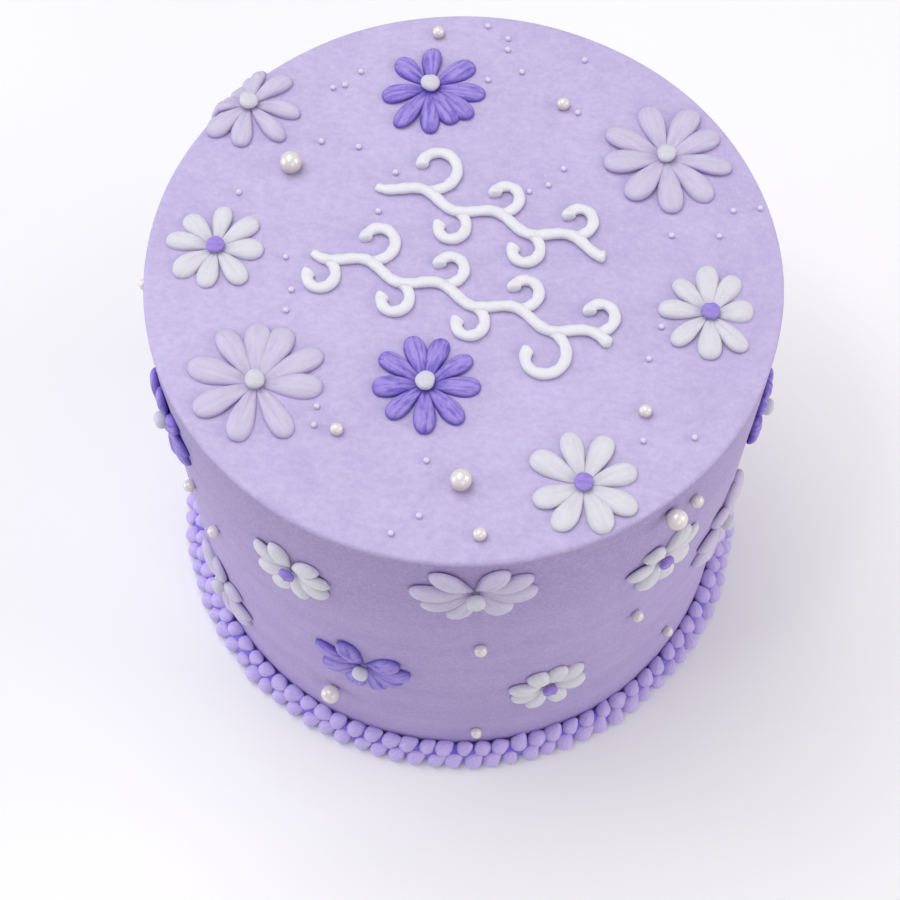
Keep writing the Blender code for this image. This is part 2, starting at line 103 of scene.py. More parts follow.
def addPiece(name, surface, material, nodes=()):
    # A surface becomes a smooth mesh that rides on the cake and stands for some of its nodes.
    mesh = bpy.data.meshes.new(name)
    faces = surface["quads"].tolist() + surface["tris"].tolist()
    mesh.from_pydata((surface["points"] * 0.001).tolist(), [], faces)
    for field, values in surface["fields"].items():
        layer = mesh.attributes.new(field, "FLOAT", "POINT")
        layer.data.foreach_set("value", values.astype(np.float32))
    if surface["flow"] is not None:
        corners = np.empty(len(mesh.loops), np.int32)
        mesh.loops.foreach_get("vertex_index", corners)
        layer = mesh.uv_layers.new(name="flow")
        layer.data.foreach_set("uv", surface["flow"][corners].astype(np.float32).ravel())
    mesh.shade_smooth()
    mesh.materials.append(material)
    piece = bpy.data.objects.new(name, mesh)
    scene.collection.objects.link(piece)
    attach(piece, "root")
    if nodes:
        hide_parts(*nodes)


def smooth(low, high, x):
    # Rises from 0 at low to 1 at high, level at both ends.
    t = np.clip((x - low) / (high - low), 0, 1)
    return t * t * (3 - 2 * t)


def eased(x, power):
    # A signed power, which squares up a circle's cosine or sine.
    return np.sign(x) * np.abs(x) ** power


def waves(points, count, shortest, longest, seed):
    # The sum of plane waves in random directions, between -1 and 1 or so.
    dice = np.random.default_rng(seed)
    ways = dice.normal(size=(count, 3))
    ways /= np.linalg.norm(ways, axis=1, keepdims=True)
    lengths = dice.uniform(shortest, longest, count)
    phases = dice.uniform(0, 2 * np.pi, count)
    turns = points @ (ways * (2 * np.pi / lengths)[:, None]).T + phases
    return np.sin(turns).sum(-1) / math.sqrt(count)


# Places on the cake: each takes points (across, along, out) and lays them on the icing

cake = {
    "radius": 81.0,       # of the iced cake at the top
    "foot": 80.0,         # and at the foot
    "height": 144.5,
    "rim": 1.2,           # rounding of the upper edge
}


def onTop(x, y):
    # Across and along are added to a spot on the top, and out is upwards.
    def place(p):
        return np.stack([x + p[..., 0], y + p[..., 1], cake["height"] + p[..., 2]], -1)
    return place


def wallRadius(z):
    # The wall leans out evenly from the foot to the top.
    return cake["foot"] + (cake["radius"] - cake["foot"]) * z / cake["height"]


def onWall(angle, z):
    # Across becomes an angle round the cake, along a height, and out is away from the axis.
    def place(p):
        turn = np.radians(angle) + p[..., 0] / cake["radius"]
        reach = wallRadius(z + p[..., 1]) + p[..., 2]
        return np.stack([reach * np.sin(turn), -reach * np.cos(turn), z + p[..., 1]], -1)
    return place


def overRim(x, y):
    # Out from the spot, points run on over the top, round the rim's arc and down the wall.
    home, turn0 = math.hypot(x, y), math.atan2(y, x)
    rim = cake["rim"]
    topEnd = cake["radius"] - rim

    def place(p):
        outward = p[..., 0] * math.cos(turn0) + p[..., 1] * math.sin(turn0)
        sideways = p[..., 1] * math.cos(turn0) - p[..., 0] * math.sin(turn0)
        turn = turn0 + sideways / home
        past = home + outward - topEnd
        lean = np.clip(past / rim, 0, np.pi / 2)
        reach = topEnd + np.minimum(past, 0) + (rim + p[..., 2]) * np.sin(lean)
        down = np.maximum(past - rim * np.pi / 2, 0)
        z = cake["height"] - rim - down + (rim + p[..., 2]) * np.cos(lean)
        return np.stack([reach * np.cos(turn), reach * np.sin(turn), z], -1)
    return place


# Materials

def linear(hexColour):
    # An sRGB hex value as linear red, green, blue and alpha.
    parts = np.array([int(hexColour[i:i + 2], 16) for i in (1, 3, 5)]) / 255
    low, high = parts / 12.92, ((parts + 0.055) / 1.055) ** 2.4
    return (*np.where(parts <= 0.04045, low, high).tolist(), 1.0)


def newMaterial(name):
    # A node material with nothing in it yet.
    material = bpy.data.materials.new(name)
    material.use_nodes = True
    material.node_tree.nodes.clear()
    return material


def addNode(material, kind, inputs=None, **settings):
    # Adds a node. An input is a plain value, or an output socket to link.
    node = material.node_tree.nodes.new(kind)
    for key, value in settings.items():
        setattr(node, key, value)
    for key, value in (inputs or {}).items():
        if isinstance(value, bpy.types.NodeSocket):
            material.node_tree.links.new(value, node.inputs[key])
        else:
            node.inputs[key].default_value = value
    return node


def finishShader(material, inputs):
    # Ends a material in one shader with these inputs.
    shader = addNode(material, "ShaderNodeBsdfPrincipled", inputs)
    addNode(material, "ShaderNodeOutputMaterial", {"Surface": shader.outputs["BSDF"]})
    return material


def noise(material, vector, size, detail=3.0, roughness=0.55):
    # Noise with features about so many millimetres wide, on coordinates in metres.
    made = addNode(material, "ShaderNodeTexNoise", {
        "Vector": vector, "Scale": 1000 / size, "Detail": detail, "Roughness": roughness,
    })
    return made.outputs["Fac"]


def blendColours(material, factor, first, second):
    # Mixes two colours, hex values or sockets. A Mix node takes them as inputs 6 and 7.
    made = addNode(material, "ShaderNodeMix", {"Factor": factor}, data_type="RGBA")
    for socket, value in ((made.inputs[6], first), (made.inputs[7], second)):
        if isinstance(value, bpy.types.NodeSocket):
            material.node_tree.links.new(value, socket)
        else:
            socket.default_value = linear(value)
    return made.outputs[2]


def ranged(material, value, low, high, toLow=0.0, toHigh=1.0):
    # Stretches the span from low to high to the new one, and holds its ends beyond it.
    made = addNode(material, "ShaderNodeMapRange", {
        "Value": value, "From Min": low, "From Max": high, "To Min": toLow, "To Max": toHigh,
    })
    return made.outputs["Result"]


def mixValues(material, factor, first, second):
    # Goes from the first value to the second as the factor goes from 0 to 1.
    made = addNode(material, "ShaderNodeMix", {"Factor": factor, "A": first, "B": second})
    return made.outputs["Result"]


def tinted(material, colour, markOrShade, value, none, whole):
    # Lays a marking or a painted shade over a colour: nothing where a value is at none, its share at
    # whole.
    hexColour, share = markOrShade
    return blendColours(material, ranged(material, value, none, whole, 0.0, share), colour, hexColour)


icingLook = {
    "top": ("#BAAFD8", "#C6BBE1"),     # the two colours that are mottled together
    "wall": ("#AC9ACE", "#B6A6D5"),
    # markings, and the painted shade under the rim: a colour and its share where it is strongest
    "clouds": ("#CCC3E2", 0.4),        # broad pale patches on the top
    # painted shade: a deeper colour over the wall's upper half, under the rim
    "underRimShade": ("#9787B5", 0.75),     # the wall's upper half
    "drifts": ("#9F8CC0", 0.4),        # broad level bands on the wall
    "grain": ("#A593CB", 0.3),
    "specks": ("#D8CEEA", 0.24),
    # sizes of the patterns in mm
    "smearSize": 1.0, "strokeSize": 1.4, "mottleSize": 9, "cloudSize": 45, "driftSize": 14,
    "speckSize": 0.9,                  # sugar grains are finer, and are this coarse to show
    "smearStretch": 0.035,             # level smears are that much finer up the wall than round it
    "strokeStretch": 0.55,
    "strokeTurn": 0.5,                 # radians
    "topHeights": (0.1428, 0.1443),    # metres: the wall's colour gives way to the top's
    "underRimShadeHeights": (0.07, 0.143),
}


def smoothedButtercream():
    # Buttercream smoothed with a scraper: satin, faint level smears on the wall, a
    # faintly brushed top, and the colour a little uneven and deeper on the wall, with
    # painted shade deepening the wall's upper half under the rim.
    look = icingLook
    material = newMaterial("smoothed_buttercream")
    where = addNode(material, "ShaderNodeTexCoord").outputs["Object"]
    stretch = look["smearStretch"]
    level = addNode(material, "ShaderNodeMapping", {
        "Vector": where, "Scale": (stretch, stretch, 1.0),
    }).outputs["Vector"]
    brushed = addNode(material, "ShaderNodeMapping", {
        "Vector": where, "Rotation": (0, 0, look["strokeTurn"]),
        "Scale": (look["strokeStretch"], 1.0, 1.0),
    }).outputs["Vector"]
    height = addNode(material, "ShaderNodeSeparateXYZ", {"Vector": where}).outputs["Z"]
    onTheTop = ranged(material, height, *look["topHeights"])
    smears = noise(material, level, look["smearSize"], 4.0, 0.6)
    strokes = noise(material, brushed, look["strokeSize"], 3.0, 0.55)
    grain = mixValues(material, onTheTop, smears, strokes)
    mottle = ranged(material, noise(material, where, look["mottleSize"], 4.0, 0.65), 0.3, 0.7)
    speck = noise(material, where, look["speckSize"], 2.0, 0.6)
    cloud = noise(material, where, look["cloudSize"], 2.0, 0.5)
    drift = noise(material, level, look["driftSize"], 2.0, 0.5)
    topColour = blendColours(material, mottle, *look["top"])
    topColour = tinted(material, topColour, look["clouds"], cloud, 0.42, 0.65)
    wallColour = blendColours(material, mottle, *look["wall"])
    # painted shade, growing towards the rim
    wallColour = tinted(material, wallColour, look["underRimShade"], height, *look["underRimShadeHeights"])
    wallColour = tinted(material, wallColour, look["drifts"], drift, 0.42, 0.62)
    colour = blendColours(material, onTheTop, wallColour, topColour)
    colour = tinted(material, colour, look["grain"], grain, 0.35, 0.7)
    colour = tinted(material, colour, look["specks"], speck, 0.45, 0.7)
    relief = addNode(material, "ShaderNodeMath", {0: grain, 1: speck}, operation="ADD")
    bump = addNode(material, "ShaderNodeBump", {
        "Strength": 0.35, "Distance": 0.00012, "Height": relief.outputs["Value"],
    })
    return finishShader(material, {
        "Base Color": colour, "Roughness": ranged(material, grain, 0.3, 0.7, 0.5, 0.62),
        "Subsurface Weight": 0.15, "Subsurface Radius": (1.0, 0.7, 1.2), "Subsurface Scale": 0.0012,
        "IOR": 1.45, "Specular IOR Level": 0.35, "Normal": bump.outputs["Normal"],
    })


pipedLook = {
    "dragSize": 0.9,
    "dragStretch": 0.14,  # drag lines are about seven times as long as they are wide
    "mottleSize": 3.5,
    "grainSize": 0.7,     # sugar grains are finer, and are this coarse to show
}


def pipedButtercream(name, crownColour, lowShade, streaks):
    # Buttercream piped from a bag: soft satin skin with fine drag lines along its flow,
    # and painted shade in a deeper colour low down and between the strokes. Of the two
    # markings, the first is that painted shade and streaks are real streaks in the colour.
    material = newMaterial(name)
    flow = addNode(material, "ShaderNodeUVMap", uv_map="flow").outputs["UV"]
    where = addNode(material, "ShaderNodeTexCoord").outputs["Object"]
    crown = addNode(material, "ShaderNodeAttribute", attribute_name="crown").outputs["Fac"]
    along = addNode(material, "ShaderNodeMapping", {
        "Vector": flow, "Scale": (pipedLook["dragStretch"], 1.0, 1.0),
    }).outputs["Vector"]
    drag = noise(material, along, pipedLook["dragSize"], 3.0, 0.6)
    mottle = noise(material, where, pipedLook["mottleSize"], 3.0, 0.6)
    grain = noise(material, where, pipedLook["grainSize"], 2.0, 0.6)
    # painted shade: the deeper colour comes in where the crown field is low
    colour = tinted(material, crownColour, lowShade, crown, 0.65, 0.05)
    colour = tinted(material, colour, streaks, mixValues(material, 0.3, drag, mottle), 0.45, 0.62)
    relief = addNode(material, "ShaderNodeMath", {0: drag, 1: grain}, operation="ADD")
    bump = addNode(material, "ShaderNodeBump", {
        "Strength": 0.5, "Distance": 0.00016, "Height": relief.outputs["Value"],
    })
    return finishShader(material, {
        "Base Color": colour, "Roughness": 0.5, "Subsurface Weight": 0.2,
        "Subsurface Radius": (1.0, 0.8, 1.2), "Subsurface Scale": 0.001,
        "IOR": 1.45, "Specular IOR Level": 0.4, "Normal": bump.outputs["Normal"],
    })


pearlLook = {
    # painted reflection and shade underneath: where it gives way to the crown colour
    "reflectionShadeHeights": (0.2, 0.85),  # between these shares of its height the colours change over
    "grainSize": 0.8,
}


def sugarPearl(name, crownColour, paintedUnderColour, ior, roughness, coat):
    # A sugar ball in a pearly coat: a soft bright highlight, and underneath it a painted reflection and
    # shade, warm on the coated pearls and deeper on the white balls.
    material = newMaterial(name)
    where = addNode(material, "ShaderNodeTexCoord").outputs["Object"]
    crown = addNode(material, "ShaderNodeAttribute", attribute_name="crown").outputs["Fac"]
    high = ranged(material, crown, *pearlLook["reflectionShadeHeights"])
    colour = blendColours(material, high, paintedUnderColour, crownColour)
    grain = noise(material, where, pearlLook["grainSize"])
    bump = addNode(material, "ShaderNodeBump", {
        "Strength": 0.2, "Distance": 0.00005, "Height": grain,
    })
    return finishShader(material, {
        "Base Color": colour, "Roughness": roughness, "IOR": ior, "Coat Weight": coat,
        "Coat Roughness": 0.1, "Normal": bump.outputs["Normal"],
    })


# The icing

icing = {
    "sides": 260,         # points round the cake
    "topRings": 34,       # and from the middle to the rim
    "rimRings": 10,
    "wallRings": 112,
    "waves": 0.08,        # height of the slow waves that smoothing leaves
    "waveCount": 14,
    "waveLengths": (28, 90),
    "bands": 0.02,        # height of the level bands that a scraper leaves on the wall
    "bandPitches": ((11, 0.3), (6.7, 1.9), (4.3, 4.0)),  # spacing of the bands and their phase
    "bandDrift": 0.35,    # how far the bands wander up and down
}


def icingSurface():
    # A profile turned about Z: across the top, round the rim by an arc, down the wall and
    # in underneath. Each point moves along its normal by slow waves, and on the wall also
    # by level bands, which wander up and down a little on their way round.
    radius, height, rim = cake["radius"], cake["height"], cake["rim"]
    lean = np.linspace(0, np.pi / 2, icing["rimRings"])
    top = np.linspace(0, radius - rim, icing["topRings"])[:-1]
    wall = np.linspace(height - rim, 0, icing["wallRings"])[1:]
    under = np.array([0.5, 0.0]) * cake["foot"]
    reach = np.concatenate([top, radius - rim + rim * np.sin(lean), wallRadius(wall), under])
    z = np.concatenate([0 * top + height, height - rim + rim * np.cos(lean), wall, 0 * under])
    outward = np.concatenate([0 * top, np.sin(lean), 0 * wall + 1, 0 * under])
    upward = np.concatenate([0 * top + 1, np.cos(lean), 0 * wall, 0 * under])
    turn = np.linspace(0, 2 * np.pi, icing["sides"], endpoint=False)
    across = np.stack([np.cos(turn), np.sin(turn), 0 * turn], -1)
    points = reach[:, None, None] * across + z[:, None, None] * np.array([0, 0, 1.0])
    normals = outward[:, None, None] * across + upward[:, None, None] * np.array([0, 0, 1.0])
    slow = icing["waves"] * waves(points, icing["waveCount"], *icing["waveLengths"], seed=5)
    wobble = 1.3 * np.sin(3 * turn + 0.7) + 0.9 * np.sin(7 * turn + 2.1)
    heightNow = z[:, None] + icing["bandDrift"] * wobble
    bands = sum(np.sin(2 * np.pi * heightNow / w + p) for w, p in icing["bandPitches"])
    moved = slow + icing["bands"] * outward[:, None] * bands
    keep = np.where((z > 0) | (reach > cake["foot"] - 1), 1.0, 0.0)[:, None]
    points = points + (moved * keep)[..., None] * normals
    return shell(points[None])


addPiece("icing", icingSurface(), smoothedButtercream(), ["cake"])
print("icing done")


# Daisies

daisyKinds = {
    # slim is half a petal's width as a share of its reach, crown its height, crease the depth
    # of its middle line, and notched the odds that its tip has a notch
    "white": {"slim": 0.218, "crown": 2.5, "crease": 0.35, "notched": 0.04, "eye": "flat"},
    "pale": {"slim": 0.204, "crown": 2.7, "crease": 0.55, "notched": 0.0, "eye": "dome"},
    "violet": {"slim": 0.202, "crown": 2.6, "crease": 0.5, "notched": 0.0, "eye": "dome"},
}

# Each daisy has its kind, its place, the way that each petal points, in degrees, and each
# petal's reach. A place is across and along the top, or degrees round the wall and height.

topDaisies = {
    "top_back": ("violet", (-8.9, 56.6), (-166, -123, -92, -61, -44, -12, 33, 90, 139),
                 (13.3, 16.0, 15.3, 13.7, 15.0, 14.9, 13.7, 12.2, 12.3)),
    "top_right": ("pale", (52.8, 34.4), (-172, -127, -88, -50, -11, 28, 65, 107, 153),
                  (16.6, 16.7, 17.6, 17.5, 17.4, 15.7, 16.6, 16.5, 17.3)),
    "top_left": ("white", (-63.0, 5.9), (-143, -101, -53, -5, 38, 83, 129, 167),
                 (13.0, 12.2, 13.2, 12.3, 13.0, 12.3, 12.1, 13.0)),
    "top_right_low": ("white", (61.7, -12.8), (-140, -94, -55, 3, 55, 93, 133, 172),
                      (13.3, 13.3, 13.5, 11.0, 12.8, 13.9, 12.7, 13.0)),
    "top_left_low": ("pale", (-51.0, -33.0), (-150, -105, -58, -8, 26, 62, 90, 123, 165),
                     (16.8, 16.8, 17.4, 16.7, 18.4, 16.9, 16.6, 17.3, 17.6)),
    "top_front": ("violet", (-9.3, -33.1), (-174, -134, -91, -50, -8, 31, 72, 105, 144),
                  (13.1, 13.1, 14.0, 14.2, 13.7, 13.6, 13.2, 13.6, 13.7)),
    "top_front_low": ("white", (28.8, -60.1), (-156, -116, -66, -30, 16, 62, 106, 147),
                      (13.1, 14.0, 13.8, 14.4, 13.4, 14.1, 14.1, 14.5)),
}

rimDaisy = {
    "top_rim": ("pale", (-56.8, 50.6), (-138, -103, -51, -7, 45, 88, 130, 175),
                (14.2, 14.4, 15.2, 14.4, 13.8, 13.0, 13.0, 13.4)),
}

wallDaisies = {
    "side_front": ("pale", (2.3, 126.3), (-149, -111, -52, -4, 34, 67, 128, 174),
                   (15.0, 15.2, 13.4, 15.3, 16.2, 15.7, 16.6, 16.2)),
    "side_front_low": ("white", (17.9, 47.4), (-157, -111, -72, -16, 45, 76, 110, 158),
                       (11.7, 14.2, 14.4, 11.6, 13.3, 13.4, 13.6, 12.4)),
    "side_front_left": ("violet", (-19.3, 60.8), (-145, -103, -65, -28, 9, 44, 111, 159),
                        (15.0, 15.4, 13.1, 12.6, 13.9, 14.5, 15.6, 15.2)),
    "side_left": ("white", (-32.4, 110.6), (-139, -105, -73, -20, 18, 54, 109, 151),
                  (13.2, 14.2, 13.4, 12.0, 12.5, 13.4, 12.8, 12.0)),
    "side_right": ("white", (39.4, 106.0), (-120, -80, -44, 12, 60, 118, 170),
                   (12.8, 13.6, 13.4, 12.8, 13.2, 12.0, 12.0)),
    "side_left_low": ("pale", (-59.3, 35.5), (-156, -115, -74, -35, 5, 46, 88, 130, 170),
                      (15.0, 14.6, 15.2, 15.2, 14.8, 15.6, 15.8, 15.0, 14.8)),
    "side_left_high": ("violet", (-68, 121), (-150, -112, -70, -33, 8, 50, 90, 128, 168),
                       (13.0, 13.8, 13.2, 13.6, 13.0, 13.4, 13.8, 13.2, 13.6)),
    "side_right_low": ("pale", (63.2, 72.5), (-166, -124, -82, -45, -5, 34, 75, 117, 158),
                       (15.6, 15.0, 15.4, 14.8, 15.8, 15.2, 15.0, 15.6, 15.2)),
    "side_right_high": ("violet", (76.4, 108), (-160, -118, -80, -40, 2, 40, 84, 122, 162),
                        (11.0, 11.4, 11.0, 11.2, 11.6, 11.0, 11.4, 11.2, 11.6)),
    "back_1": ("white", (104, 46), (-158, -112, -68, -20, 24, 68, 114, 160),
               (12.0, 12.6, 12.8, 12.2, 12.6, 12.0, 12.8, 12.4)),
    "back_2": ("pale", (127, 111), (-163, -121, -80, -44, -2, 36, 79, 118, 156),
               (15.8, 15.2, 15.6, 16.0, 15.0, 15.8, 15.4, 15.8, 15.2)),
    "back_3": ("violet", (151, 58), (-150, -115, -76, -34, 6, 44, 86, 126, 168),
               (13.2, 13.8, 13.4, 13.8, 13.0, 13.6, 13.8, 13.2, 13.6)),
    "back_4": ("white", (178, 112), (-165, -118, -75, -28, 16, 62, 105, 152),
               (12.8, 12.2, 12.6, 13.0, 12.2, 12.8, 12.4, 12.8)),
    "back_5": ("pale", (205, 50), (-170, -130, -90, -48, -10, 30, 72, 110, 150),
               (15.4, 16.0, 15.6, 16.2, 15.4, 15.8, 16.0, 15.4, 15.8)),
    "back_6": ("violet", (231, 104), (-155, -114, -73, -36, 4, 47, 85, 128, 165),
               (13.4, 12.8, 13.2, 13.6, 12.8, 13.4, 13.0, 13.4, 13.0)),
    "back_7": ("white", (258, 60), (-149, -104, -60, -14, 30, 76, 120, 166),
               (12.2, 12.6, 12.0, 12.4, 12.6, 12.0, 12.4, 12.2)),
}

petalShape = {
    "rings": 17,          # points from the crown to the underside
    "sides": 36,          # points round a petal
    "middle": 0.66,       # where the crown is, as a share of the reach
    "inner": 1.0,         # where petals start, from the middle of the daisy
    "belly": 0.24,        # height of the widest line, as a share of the crown
    "taper": 0.46,        # how much a petal narrows towards the eye
    "sunk": 0.35,         # pressed into the icing
    "ripple": 0.05,       # height of the finest drag lines
    "notchWide": 0.33,    # how wide a notch and the crease are, as shares of half a petal
    "creaseWide": 0.24,
    "creaseEnds": (0.45, 0.9),  # where the crease fades out, as shares of the reach
    # painted shade: a darker line along the crease, its width and where it fades, as above
    "creaseShadeWide": 0.22,           # the same for the darker line in it
    "creaseShadeEnds": (0.3, 0.75),
    # what differs from petal to petal, from least to most
    "widths": (0.92, 1.1),
    "crowns": (0.92, 1.06),
    "creases": (0.2, 1.2),
    "notches": (0.03, 0.08),
    "blunt": (0.72, 1.0),       # the lower, the squarer the tip
    "rolls": (-9, 9),           # degrees about its own length
    "bends": (-0.05, 0.05),
    "tips": (0.2, 1.0),         # share of the lift that its tip takes
    "crossRipples": (1.1, 1.7),
    "longRipples": (0.9, 1.6),
}


def petals(ways, reaches, kind, lifted, broader):
    # Every petal is a ball opened out: a turn goes round the outline, a teardrop that is
    # narrow at the eye and round at the tip, and a lean goes from the crown over the
    # widest line to the flat underside. The crown is lower near the eye, with a crease
    # along the middle, and some tips are notched.
    look, shape = daisyKinds[kind], petalShape
    count = len(ways)

    def each(low, high):
        return luck.uniform(low, high, count)[:, None, None]

    long = np.array(reaches, float)[:, None, None]
    reach = np.mean(reaches)
    wide = reach * look["slim"] * broader * each(*shape["widths"])
    tall = look["crown"] * broader * each(*shape["crowns"])
    crease = look["crease"] * each(*shape["creases"])
    notched = np.where(luck.random(count) < look["notched"], 1.0, 0.0)[:, None, None]
    notch = notched * each(*shape["notches"]) * reach
    blunt = each(*shape["blunt"])
    roll = np.tan(np.radians(each(*shape["rolls"])))
    bend = each(*shape["bends"])
    tip = lifted * each(*shape["tips"])
    lean = np.linspace(0, np.pi, shape["rings"])[None, :, None]
    turn = np.linspace(0, 2 * np.pi, shape["sides"], endpoint=False)[None, None, :]
    spread = np.sin(lean) ** 0.85
    cosine, sine = np.cos(turn), np.sin(turn)
    back = np.maximum(-cosine, 0)
    middle = shape["middle"] * long
    edgeX = np.where(cosine > 0, (long - middle) * eased(cosine, 0.9) ** blunt,
                     (middle - shape["inner"]) * cosine)
    edgeY = wide * eased(sine, 0.92) * (1 - shape["taper"] * back ** 1.1)
    x = middle + spread * edgeX
    y = spread * edgeY
    dent = np.exp(-(y / (shape["notchWide"] * wide)) ** 2)
    x = x - notch * (dent * smooth(0.5, 1.0, spread * np.maximum(cosine, 0)))
    local = tall * (0.55 + 0.45 * smooth(0.08, 0.55, x / long))
    belly = shape["belly"] * local
    up = eased(np.cos(lean), 0.9)
    z = belly + np.where(up > 0, (local - belly) * up, belly * up)
    above = np.clip(up, 0, 1) ** 0.5
    valley = np.exp(-(y / (shape["creaseWide"] * wide)) ** 2)
    z = z - crease * above * valley * (1 - smooth(*shape["creaseEnds"], x / long))
    ripple = np.sin(2 * np.pi * y / each(*shape["crossRipples"]) + each(0, 6))
    ripple = ripple + 0.6 * np.sin(x / each(*shape["longRipples"]) + each(0, 6))
    z = z + shape["ripple"] * above * ripple
    z = z + roll * y * smooth(0.1, 0.5, x / long) + tip * smooth(0.35, 1.0, x / long)
    z = z - shape["sunk"]
    y = y + bend * x * x / long
    flow = np.stack([x + each(0, 400), y + each(0, 400)], -1) * 0.001
    aim = np.radians(np.array(ways, float))[:, None, None]
    laid = np.stack([x * np.cos(aim) - y * np.sin(aim), x * np.sin(aim) + y * np.cos(aim), z], -1)
    # painted shade: the crown field is 0 from the widest line down, where the finish deepens the colour
    crown = np.clip(up, 0, 1) * np.ones_like(z)
    # painted shade along the crease near the eye, lowering the crown field there
    creaseShade = np.exp(-(y / (shape["creaseShadeWide"] * wide)) ** 2)
    creaseShade = creaseShade * (1 - smooth(*shape["creaseShadeEnds"], x / long))
    return laid, {"crown": np.clip(crown - 0.45 * creaseShade * above, 0, 1)}, flow


eyeShape = {
    "rings": 13,          # points from the crown to the underside
    "sides": 28,          # points round an eye
    # stand and shrink say how much taller and narrower an eye gets for each mm it is raised
    "flat": {"radius": 2.35, "base": 1.0, "top": 2.6, "square": 0.6, "rough": 0.24,
             "stand": 0.35, "shrink": 0.08},
    "dome": {"radius": 2.5, "base": 0.8, "top": 3.4, "square": 0.78, "rough": 0.1,
             "stand": 0.8, "shrink": 0.08},
}


def eye(kind, raised):
    # A dot of buttercream: a ball squared up towards a button, its outline a little uneven.
    shape = eyeShape[daisyKinds[kind]["eye"]]
    lean = np.linspace(0, np.pi, eyeShape["rings"])[None, :, None]
    turn = np.linspace(0, 2 * np.pi, eyeShape["sides"], endpoint=False)[None, None, :]
    p, q = luck.uniform(0, 6, 2)
    outline = 1 + 0.035 * np.sin(2 * turn + p) + 0.03 * np.sin(3 * turn + q)
    outline = outline + 0.015 * np.sin(5 * turn + p)
    radius = shape["radius"] * (1 - shape["shrink"] * raised)
    spread = radius * np.sin(lean) ** shape["square"] * outline
    top = shape["top"] + shape["stand"] * raised
    middle, half = 0.5 * (top + shape["base"]), 0.5 * (top - shape["base"])
    x, y = spread * np.cos(turn), spread * np.sin(turn)
    up = eased(np.cos(lean), shape["square"])
    lumps = np.sin(2.3 * x + p) * np.sin(2.6 * y + q) + 0.5 * np.sin(4.1 * x - 3.3 * y + q)
    z = middle + half * up * np.ones_like(x) + shape["rough"] * lumps * np.clip(up, 0, 1)
    flow = np.stack([x, y], -1) * 0.001
    # painted shade: an eye's colour deepens towards its underside
    crown = 0.4 + 0.6 * np.clip(np.cos(lean), 0, 1) * np.ones_like(z)
    return np.stack([x, y, z], -1), {"crown": crown}, flow


# the second colour of each is painted shade, low down on the petals and between them
petalFinish = {
    "white": pipedButtercream("white_buttercream", "#DAD9E1", ("#C6BFD6", 0.5), ("#CFCBDA", 0.55)),
    "pale": pipedButtercream("pale_lilac_buttercream", "#CCC5DD", ("#A99AC9", 0.6), ("#BFB4D6", 0.6)),
    "violet": pipedButtercream("violet_buttercream", "#A291DB", ("#4A36A6", 0.85), ("#6652BE", 0.85)),
}
# the second colour of each is painted shade towards an eye's underside
eyeFinish = {
    "dome": pipedButtercream("white_dot_buttercream", "#D3D2DC", ("#C8C2D6", 0.4), ("#CAC7D4", 0.5)),
    "flat": pipedButtercream("violet_dot_buttercream", "#A08CD8", ("#765DC4", 0.6), ("#8870CC", 0.6)),
}


def addDaisies(daisies, placeOf, lifted, raised, broader):
    # Lifted is how high the petal tips are raised, raised how much further out the eyes
    # stand, and broader makes petals wider and thicker.
    for name, (kind, spot, ways, reaches) in daisies.items():
        place = placeOf(*spot)
        grid, fields, flow = petals(ways, reaches, kind, lifted, broader)
        addPiece(f"petals_{name}", shell(place(grid), fields, flow), petalFinish[kind],
                 [f"daisy_{name}_petals"])
        eyeKind = daisyKinds[kind]["eye"]
        grid, fields, flow = eye(kind, raised)
        addPiece(f"eye_{name}", shell(place(grid), fields, flow), eyeFinish[eyeKind],
                 [f"daisy_{name}_eye"])


addDaisies(topDaisies, onTop, lifted=0.3, raised=0.0, broader=1.0)
addDaisies(rimDaisy, overRim, lifted=0.2, raised=0.0, broader=1.0)
addDaisies(wallDaisies, onWall, lifted=0.1, raised=1.3, broader=1.1)
print("daisies done")


# Sugar pearls

pearls = {
    # places on the top are across and along it, on the wall degrees round it and height, and
    # lift is how high over the icing a pearl's middle is, as a share of its radius
    "large": {
        "radius": 2.85, "lift": 0.92, "rings": 21, "sides": 32,
        "top": (
            (-44.8, 30.6), (-0.5, -60.2),
        ),
        "wall": (
            (38.2, 137), (-26.8, 30.7), (166, 88),
        ),
    },
    "medium": {
        "radius": 1.7, "lift": 0.75, "rings": 13, "sides": 20,
        "top": (
            (-6.9, 73.9), (26.3, 50.5), (44.3, -40.8), (-30.6, -46.2), (4, -73.7),
        ),
        "wall": (
            (3.6, 88.4), (3.5, 17.5), (35.8, 74.4), (48.8, 29.4), (44.3, 132.7), (-54.6, 86.8),
            (-63, 94), (-91, 134), (-88, 22), (92, 78), (116, 76), (140, 92), (168, 30),
            (192, 84), (218, 80), (244, 82), (272, 92),
        ),
    },
    "small": {
        "radius": 0.8, "lift": 0.7, "rings": 8, "sides": 10,
        "top": (
            (-27.5, 61.3), (-34.8, 56), (-31.7, 56.9), (6.5, 76.7), (11.9, 72.5), (11.8, 68.8),
            (15.5, 61.5), (6.4, 58.7), (32.3, 65.5), (30.1, 48.3), (-37.3, 38.7), (-27.5, 37),
            (-58.1, 22.6), (-17.7, 29), (-21.9, 17), (26, 30.4), (21.9, 25.3), (16.9, 23.3),
            (-45.1, 3.1), (-43.3, -6.6), (-44.4, -12.5), (53.1, 10.1), (65.3, 10), (69.3, 17.7),
            (76.3, 18.5), (49.3, -16.7), (45.8, -25.9), (56, -47.6), (43.5, -48.5), (-35.7, -39.6),
            (-36.2, -44.7), (-8.8, -54.1), (-10.4, -68.7), (-17, -73.2),
        ),
        "wall": (),
    },
}


